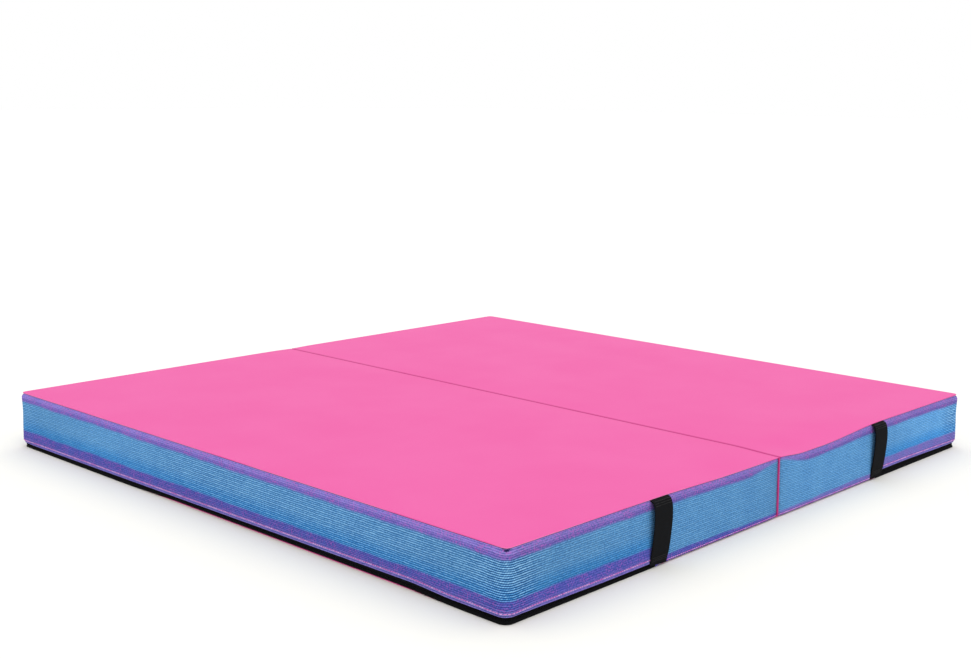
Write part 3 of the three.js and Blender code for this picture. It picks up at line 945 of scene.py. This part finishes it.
def dyed_bands(run, z):
    """How much of each band's colour there is at each place: upper band, lower band, trim, and the painted
    shade under the top seam.
    """
    from_fold = run_at(0) - np.abs(run)
    across_fold = strap_side(run)
    wander = 0.5 * MM * np.sin(run * 23) + 0.4 * MM * np.sin(run * 71 + 1.3)
    widening = smoothstep(from_fold, 5 * MM, 90 * MM)
    top_edge = TOP - (5 + 10 * widening) * MM + wander * widening
    in_top = smoothstep(z, top_edge - 3.4 * MM, top_edge + 1.8 * MM)
    narrow_base = 10 * MM + 3 * MM * smoothstep(from_fold, 60 * MM, STRAP_X)
    base_edge = np.where(across_fold, narrow_base, 31.5 * MM) + wander
    in_base = 1 - smoothstep(z, base_edge - 1.8 * MM, base_edge + 2.4 * MM)
    below_stitch = 1 - smoothstep(z, HEM_STITCH_Z - MM, HEM_STITCH_Z + 6 * MM)
    in_trim = np.where(across_fold, 0, 0.85 * below_stitch)
    # Painted shade under the top seam, reaching further down under each corner's overhanging tip.
    under_tip = 4 * MM * np.exp(-(from_corner(run) / (4 * MM)) ** 2)
    in_seam = smoothstep(z, TOP - 2.2 * MM - under_tip, TOP - 1.7 * MM - under_tip)
    return in_top, in_base, in_trim, in_seam


def mixed_colours(first, second, share):
    share = share[..., None]
    return np.array(first) * (1 - share) + np.array(second) * share


def mesh_dye_and_shade(tag, run, z):
    """Colour of the mesh at each place of the flat cloth, with its painted shade and light, and how much of
    the lining shows through it.
    """
    in_top, in_base, in_trim, in_seam = dyed_bands(run, z)
    low = np.where(strap_side(run), 0, 1 - smoothstep(z, 36 * MM, 58 * MM))
    beside_fold = np.exp(-np.maximum(run_at(0) - np.abs(run), 0) / (24 * MM))
    at_corner = 1 - smoothstep(from_corner(run), 20 * MM, 80 * MM)
    near_corner_shade = NEAR_CORNER_SHADE[tag] + (CORNER_SHADE[tag] - NEAR_CORNER_SHADE[tag]) * at_corner
    near_corner_shade *= 1 - smoothstep(from_corner(run), 60 * MM, 300 * MM)
    in_front = smoothstep(-run, LONG_RUN, SHORT_RUN)
    # Painted shade beside the fold, near and at the corners and on the front side; negative values paint
    # light.
    shade = FOLD_SHADE * beside_fold + near_corner_shade + SIDE_SHADE[tag] * in_front
    colour = mixed_colours(BLUE, BLUE_DEEP, low)
    colour[..., :3] *= (1 - shade)[..., None]
    band = mixed_colours(TOP_BAND_EDGE, TOP_BAND, smoothstep(z, TOP - 14 * MM, TOP - 6 * MM))
    # Painted shade on the upper band where it runs on the front side.
    band[..., :3] *= (1 - BAND_SHADE * in_front)[..., None]
    for share, dye_and_shade in ((in_top, band), (in_base, BASE_BAND[tag]), (in_trim, TRIM), (in_seam, SEAM_SHADE)):
        colour = mixed_colours(colour, dye_and_shade, share)
    lining = np.maximum(0.55 * in_top, 0.4 * in_base) * (1 - 0.6 * in_seam) * (1 - 0.7 * in_trim)
    return colour, lining


def knit_shading_strength(run):
    """How clearly the knit's rows show along the wall: the strength of their painted highlights and gap
    shade.
    """
    on_short = smoothstep(np.abs(run), LONG_RUN - ZONE_RUN, LONG_RUN + 2 * ZONE_RUN)
    to_rear = smoothstep(run, 0, REAR_REACH)
    shading = LONG_SHADING - SHADING_LOSS * np.maximum(on_short, to_rear)
    at_corner = (1 - REAR_CORNER_LOSS * to_rear) * (1 - smoothstep(from_corner(run), *CORNER_SHADING))
    return shading + (1 - shading) * at_corner


def make_side_mesh(tag, cover, paint):
    """Mesh wall of one half round its three outer sides, with its knit rows as real ridges."""
    runs = wall_stations(GUSSET_END)
    levels = np.arange(GUSSET_LEVELS[0], GUSSET_LEVELS[1] + 1)
    run, level = np.meshgrid(runs, levels, indexing="ij")
    z = level * ROW_PITCH / ROW_STEPS
    ridge = -ROW_DEPTH * np.cos(level * 2 * math.pi / ROW_STEPS)
    outer = wall_points(run, wall_out(cover, run, z) + ridge, z)
    outer[..., 2] = cloth_height(tag, run, z)
    middle = np.abs(runs[1:] + runs[:-1]) / 2
    keep = (middle[:, None] > run_at(STRAP_X)) | (levels[None, :-1] >= FLAP_LEVEL)
    dye_and_shade, lining = mesh_dye_and_shade(tag, run, z)
    marks = {"dye_and_shade": dye_and_shade, "lining": lining, "knit_shading": knit_shading_strength(run)}
    piece = sheet_object(f"side_mesh_{tag}", outer, MESH, np.stack([run, z], -1), keep, **marks)
    finish_piece(piece, tag, paint, "blue_mesh", f"mesh_gusset_{tag}", pad=0.9)


def make_facings(tag, paint):
    """Vinyl strips behind the mesh's edges: the lower one carries the zipper, the upper one the seam."""
    strips = {
        "zip_facing": (STRAP_X, ZIP_TOP + 1.3 * MM, FACING_TOP, FACING_DEPTH),
        "top_hem": (GUSSET_END, HEM_BASE - DROOP, HEM_TOP - 3 * MM, HEM_DEPTH),
    }
    for node, (end_x, low, high, depth) in strips.items():
        run, z = np.meshgrid(wall_stations(end_x), spaced(low, high, 4 * MM), indexing="ij")
        outer = wall_points(run, -depth, z)
        outer[..., 2] -= seam_sag(tag, run, z)
        piece = sheet_object(f"{node}_strip_{tag}", outer, STRIP, np.stack([run, z], -1))
        finish_piece(piece, tag, paint, "hem_vinyl", f"{node}_{tag}")


def make_stitching(tag, cover, paint):
    """Topstitching along the mesh's lower edge: beyond the handles, and between each one and the fold. Each
    stitch dips into the cloth at both ends.
    """
    under_strap = STRAP_WIDTH * 0.3
    hem_run, strap_run = run_at(STRAP_X + under_strap), run_at(STRAP_X - under_strap)
    fold_run = run_at(GUSSET_END + MM)
    rows = {
        "hem_stitch": (-hem_run, hem_run, HEM_STITCH_Z),
        "base_stitch_front": (-fold_run, -strap_run, BASE_STITCH_Z),
        "base_stitch_rear": (strap_run, fold_run, BASE_STITCH_Z),
    }
    for name, (start, end, z) in rows.items():
        run = np.arange(start, end - STITCH, STITCH_PITCH)[:, None] + STITCH * STITCH_RINGS
        centres, ahead = wall_line(run, wall_out(cover, run, z) + STITCH_LIFT, z)
        centres[..., 2] = cloth_height(tag, run, z)
        rise = np.broadcast_to(UP, centres.shape)
        radii = THREAD * np.array([0.6, 1, 1.1, 1, 0.6])
        piece = tubes_object(f"{name}_{tag}", centres, np.cross(ahead, rise), rise, radii)
        finish_piece(piece, tag, paint, "seam_thread")


# ---- zipper


def make_tape(tag, place, paint):
    """One zipper tape of a half. The lower one rolls out over the floor, except where the slider runs, and
    lifts off the base cover's pink edge along the middle of the long side.
    """
    low, high = ZIP_BASE - 1.5 * MM, ZIP_SLIT_Z - ZIP_SLIT_HALF
    if place == "upper":
        low, high = ZIP_SLIT_Z + ZIP_SLIT_HALF, ZIP_TOP + MM
    run, z = np.meshgrid(wall_stations(ZIP_END), np.linspace(low, high, 9), indexing="ij")
    ribs = TAPE_RIB * np.cos((z - low) / (high - low) * TAPE_RIBS * 2 * math.pi)
    rolled = (1 - smoothstep(z, *TAPE_ROLL)) * (1 - smoothstep(run, LONG_RUN, SHORT_RUN))
    held = smoothstep(run, *LIFT_STARTS) * (1 - smoothstep(run, *LIFT_ENDS))
    outer = wall_points(run, -ZIP_INSET + ribs + TAPE_FLARE * rolled * (1 - TAPE_HOLD * held), z)
    outer[..., 2] += TAPE_LIFT * held * (1 - smoothstep(z, *TAPE_LIFT_Z))
    piece = sheet_object(f"tape_{place}_{tag}", outer, TAPE, np.stack([run, z], -1))
    finish_piece(piece, tag, paint, "zip_tape", f"zip_tape_{place}_{tag}")


def make_teeth(tag, place, paint):
    """Coil teeth of one tape, each a short bar across the slit, half a pitch from the other tape's."""
    offset, way = (0, 1) if place == "upper" else (TOOTH_PITCH / 2, -1)
    end = run_at(ZIP_END)
    run = np.arange(-end + offset, end, TOOTH_PITCH)[:, None]
    z = ZIP_SLIT_Z + np.array([-0.5, 0.1, 1.2, 1.9]) * MM * way
    lift = np.array([0.1, 0.55, 0.5, -0.1]) * MM
    centres, ahead = wall_line(run, -ZIP_INSET + lift, z)
    rise = np.cross(ahead, UP)
    radii = TOOTH_RADIUS * np.array([0.7, 1, 1, 0.7])
    piece = tubes_object(f"coil_{place}_{tag}", centres, ahead, rise, radii, sides=5)
    finish_piece(piece, tag, paint, "zip_tape")


# ---- handles


def catmull_rom(points, steps):
    """A smooth line through points, with steps samples between each two."""
    points = np.array(points, float)
    ends = np.concatenate([[2 * points[0] - points[1]], points, [2 * points[-1] - points[-2]]])
    t = np.linspace(0, 1, steps, endpoint=False)[:, None]
    spans = []
    for i in range(len(points) - 1):
        a, b, c, d = ends[i:i + 4]
        square = 2 * a - 5 * b + 4 * c - d
        cube = 3 * b - a - 3 * c + d
        spans.append(0.5 * (2 * b + (c - a) * t + square * t ** 2 + cube * t ** 3))
    return np.concatenate([*spans, points[-1:]])


def strap_curve():
    """The webbing's middle line out from the side wall and up, its normals, and its length at each point."""
    line = catmull_rom(STRAP_LINE, steps=8) * MM
    tangent = unit(np.gradient(line, axis=0))
    return line, np.stack([-tangent[:, 1], tangent[:, 0]], -1), run_lengths(line)


def strap_points(across, out, z, place):
    """Places on half a's webbing: across is -1 to 1 of its half width. Its foot rises towards the zipper."""
    across, out, z = np.broadcast_arrays(across, out, z)
    foot = 1 - smoothstep(z, 0, FOOT_HEIGHT)
    x = -STRAP_X + across * STRAP_WIDTH / 2 * (1 - FOOT_NARROWING * foot)
    rise = FOOT_SLANT * foot * (1 - across) / 2
    return np.stack([x, (-1 if place == "front" else 1) * (HALF_WIDTH + out), z + rise], -1)


def make_handle(tag, place, paint):
    """Webbing handle sewn in at the top seam and at the base, ribbed along both its edges."""
    line, normal, length = strap_curve()
    across, thick = np.array(STRAP_ACROSS), np.array(STRAP_SECTION)
    loop_x = np.concatenate([across, across[::-1]])
    loop_n = np.concatenate([thick, -thick[::-1]]) * STRAP_THICKNESS / 2
    faces_out = line[:, None] + normal[:, None] * loop_n[None, :, None]
    verts = strap_points(loop_x, faces_out[..., 0], faces_out[..., 1], place)
    rings, sides = verts.shape[:2]
    number = np.arange(rings * sides).reshape(rings, sides)
    after = np.roll(number, -1, axis=1)
    faces = np.stack([number[:-1], after[:-1], after[1:], number[1:]], -1).reshape(-1, 4).tolist()
    faces += [number[0][::-1].tolist(), number[-1].tolist()]
    uvs = np.stack(np.broadcast_arrays(loop_x[None] * STRAP_WIDTH / 2, length[:, None]), -1)
    piece = mesh_object(f"strap_{place}_{tag}", verts, faces, uvs)
    finish_piece(piece, tag, paint, "webbing", f"handle_{place}_{tag}")


def make_tacks(tag, place, paint):
    """Rows of stitches across a handle, which hold it down just under the top seam and at its foot."""
    line, normal, length = strap_curve()
    heights = np.concatenate([TACK_ROWS, length[-1] - TACK_ROWS])
    half_width = STRAP_WIDTH / 2
    starts = np.arange(*TACK_SPAN, TACK_PITCH / half_width)
    across = (starts[:, None] + STITCH_RINGS * TACK / half_width)[None]
    lift = STRAP_THICKNESS / 2 + np.array([-0.4, 0.15, 0.3, 0.15, -0.4]) * MM
    at = lambda values: np.stack([np.interp(heights, length, values[:, axis]) for axis in (0, 1)], -1)
    middle, away = at(line), -at(normal)
    away *= np.sign(away[:, :1])
    out, z = (middle[:, None, None, axis] + away[:, None, None, axis] * lift for axis in (0, 1))
    centres = strap_points(across, out, z, place).reshape(-1, len(STITCH_RINGS), 3)
    side, rise = (np.broadcast_to(axis, centres.shape) for axis in ([0, 1.0, 0], UP))
    radii = THREAD * np.array([0.5, 0.8, 0.9, 0.8, 0.5])
    piece = tubes_object(f"strap_tacks_{place}_{tag}", centres, side, rise, radii)
    finish_piece(piece, tag, paint, "webbing")


# ---- fold seam, foam and metal


def make_fold_seam(paint):
    """Strip of vinyl that joins the two top covers and is the hinge of the fold."""
    one_side = np.array([0.2, 0.45, 0.7, 0.95, 1.4, 2, 2.6]) * MM
    across = np.concatenate([-one_side[::-1], [0], one_side])
    margin = 0.8 * MM
    x, y = np.meshgrid(across, spaced(-HALF_WIDTH + margin, HALF_WIDTH - margin, CELL), indexing="ij")
    dip = FOLD_STRIP_DEPTH + FOLD_STRIP_DIP * smoothstep(np.abs(x), 0.4 * MM, 1.6 * MM)
    top = np.stack([x, y, TOP - fold_sag("a", -np.abs(x), y) - dip], -1)
    piece = sheet_object("fold_strip", top, FOLD_STRIP, top[..., :2])
    piece.data.materials.append(paint)
    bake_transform(piece)
    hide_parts("fold_seam")


def make_foam(tag, node, paint):
    """A slab of foam with eased edges, which follows the sag of the cover where it lies under it."""
    low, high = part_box(f"{node}_a")
    inset = low.x + HALF_LENGTH
    x, y, drop = panel_grid(inset, FOAM_CORNER, FOAM_ROUND, FOAM_ROUND, FOAM_TUCK, -high.x)
    top = min(high.z, TOP - FOLD_SAG - VINYL - MM)
    z = top - drop - fold_sag(tag, x, y) * smoothstep(high.z, 0, TOP)
    outer = np.stack([x, y, z], -1)
    depth = np.zeros_like(outer)
    depth[..., 2] = z - low.z - drop
    piece = sheet_object(f"{node}_core_{tag}", outer, depth, outer[..., :2])
    finish_piece(piece, tag, paint, node, f"{node}_{tag}", pad=1.0)


def finish_metal(paint):
    """Black metal on the zipper's stops, sliders and pulls, with their edges eased."""
    for name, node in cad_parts.items():
        if name.startswith(("zip_stop", "zip_slider", "zip_pull")):
            node.data.materials.clear()
            node.data.materials.append(paint)
            ease = node.modifiers.new("ease", "BEVEL")
            ease.width = 0.2 * MM
            ease.segments = 2
            ease.limit_method = "ANGLE"


# ---- the whole mat

make_camera()
make_stage()

vinyl = vinyl_material("vinyl", PINK, PINK_DEEP)
seam_vinyl = vinyl_material("seam_vinyl", FOLD_SHADE_PINK, PIPING_PINK)
piping_vinyl = vinyl_material("piping_vinyl", PIPING_PINK, PINK_DEEP)
knit = knit_material()
tape = woven_material("tape_weave", srgb(5, 5, 7), srgb(14, 14, 16), 0.7 * MM, 0.8)
coil = woven_material("coil_nylon", srgb(5, 5, 7), srgb(16, 16, 19), 0.5 * MM, 0.5)
webbing = woven_material("webbing_weave", srgb(8, 8, 10), srgb(19, 20, 23), 1.3 * MM, 0.85)
metal = metal_material()
pink_thread = thread_material("pink_thread", srgb(208, 108, 188), srgb(226, 168, 222))
black_thread = thread_material("black_thread", srgb(12, 12, 14), srgb(24, 24, 27))
soft_foam = foam_material("soft_foam_cells", srgb(235, 230, 208), srgb(205, 198, 172), 1.6 * MM)
firm_foam = foam_material("firm_foam_cells", srgb(240, 240, 238), srgb(214, 214, 212), 1.1 * MM)

padding = inflated_cover()

for tag in ("a", "b"):
    make_top_panel(tag, padding, vinyl)
    make_base_panel(tag, vinyl)
    make_fold_wall(tag, vinyl)
    make_piping(tag, piping_vinyl)
    make_side_mesh(tag, padding, knit)
    make_facings(tag, vinyl)
    make_stitching(tag, padding, pink_thread)
    for place in ("upper", "lower"):
        make_tape(tag, place, tape)
        make_teeth(tag, place, coil)
    for place in ("front", "rear"):
        make_handle(tag, place, webbing)
        make_tacks(tag, place, black_thread)
    make_foam(tag, "soft_foam", soft_foam)
    make_foam(tag, "firm_foam", firm_foam)
make_fold_seam(seam_vinyl)
finish_metal(metal)
